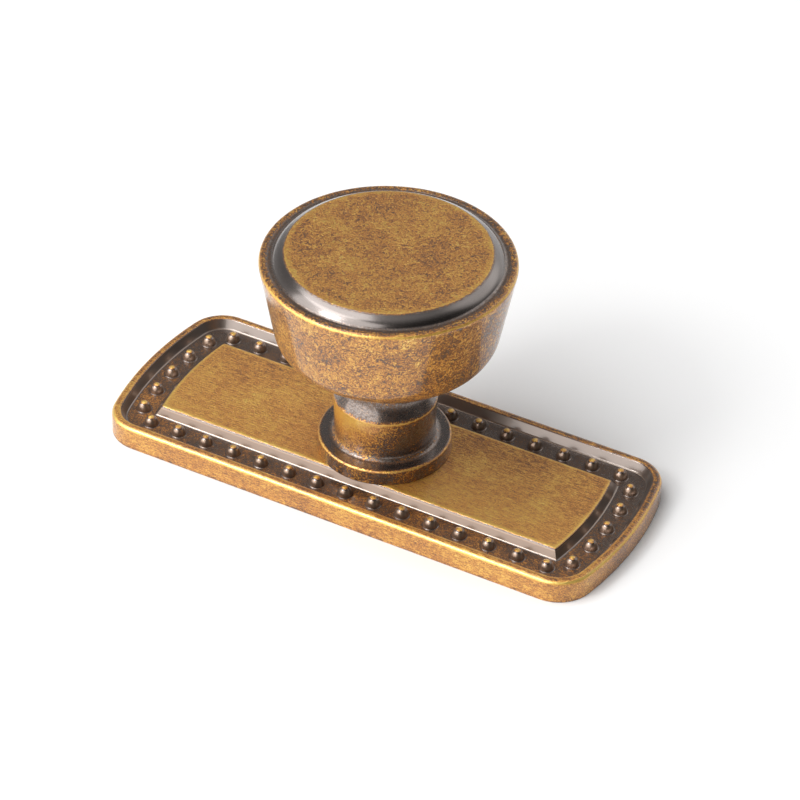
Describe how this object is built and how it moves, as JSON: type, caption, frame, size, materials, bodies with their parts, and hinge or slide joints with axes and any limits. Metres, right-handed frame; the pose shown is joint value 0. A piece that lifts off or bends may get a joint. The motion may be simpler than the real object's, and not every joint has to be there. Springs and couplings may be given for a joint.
{
  "type": "cabinet knob with backplate",
  "caption": "Flat-topped mushroom cabinet knob with tapered head, narrow stem and round foot, on a long backplate with beaded channel and raised panel, for one screw from behind.",
  "frame": {"origin": "middle of the backplate's back face, where it lies on the cabinet front", "axes": "+X along the backplate, +Z out of the cabinet front towards the knob's head"},
  "size_m": [0.0694, 0.0316, 0.0326],
  "materials": {
    "plate_brass": "antiqued brass, brushed on the panel, dark in the channel, rubbed bright on edges and bead tips",
    "knob_brass": "antiqued brass, mottled golden brown, dark in grooves, rubbed bright on edges"
  },
  "bodies": {
    "root": {"backplate": "plate_brass", "knob": "knob_brass"}
  },
  "joints": []
}
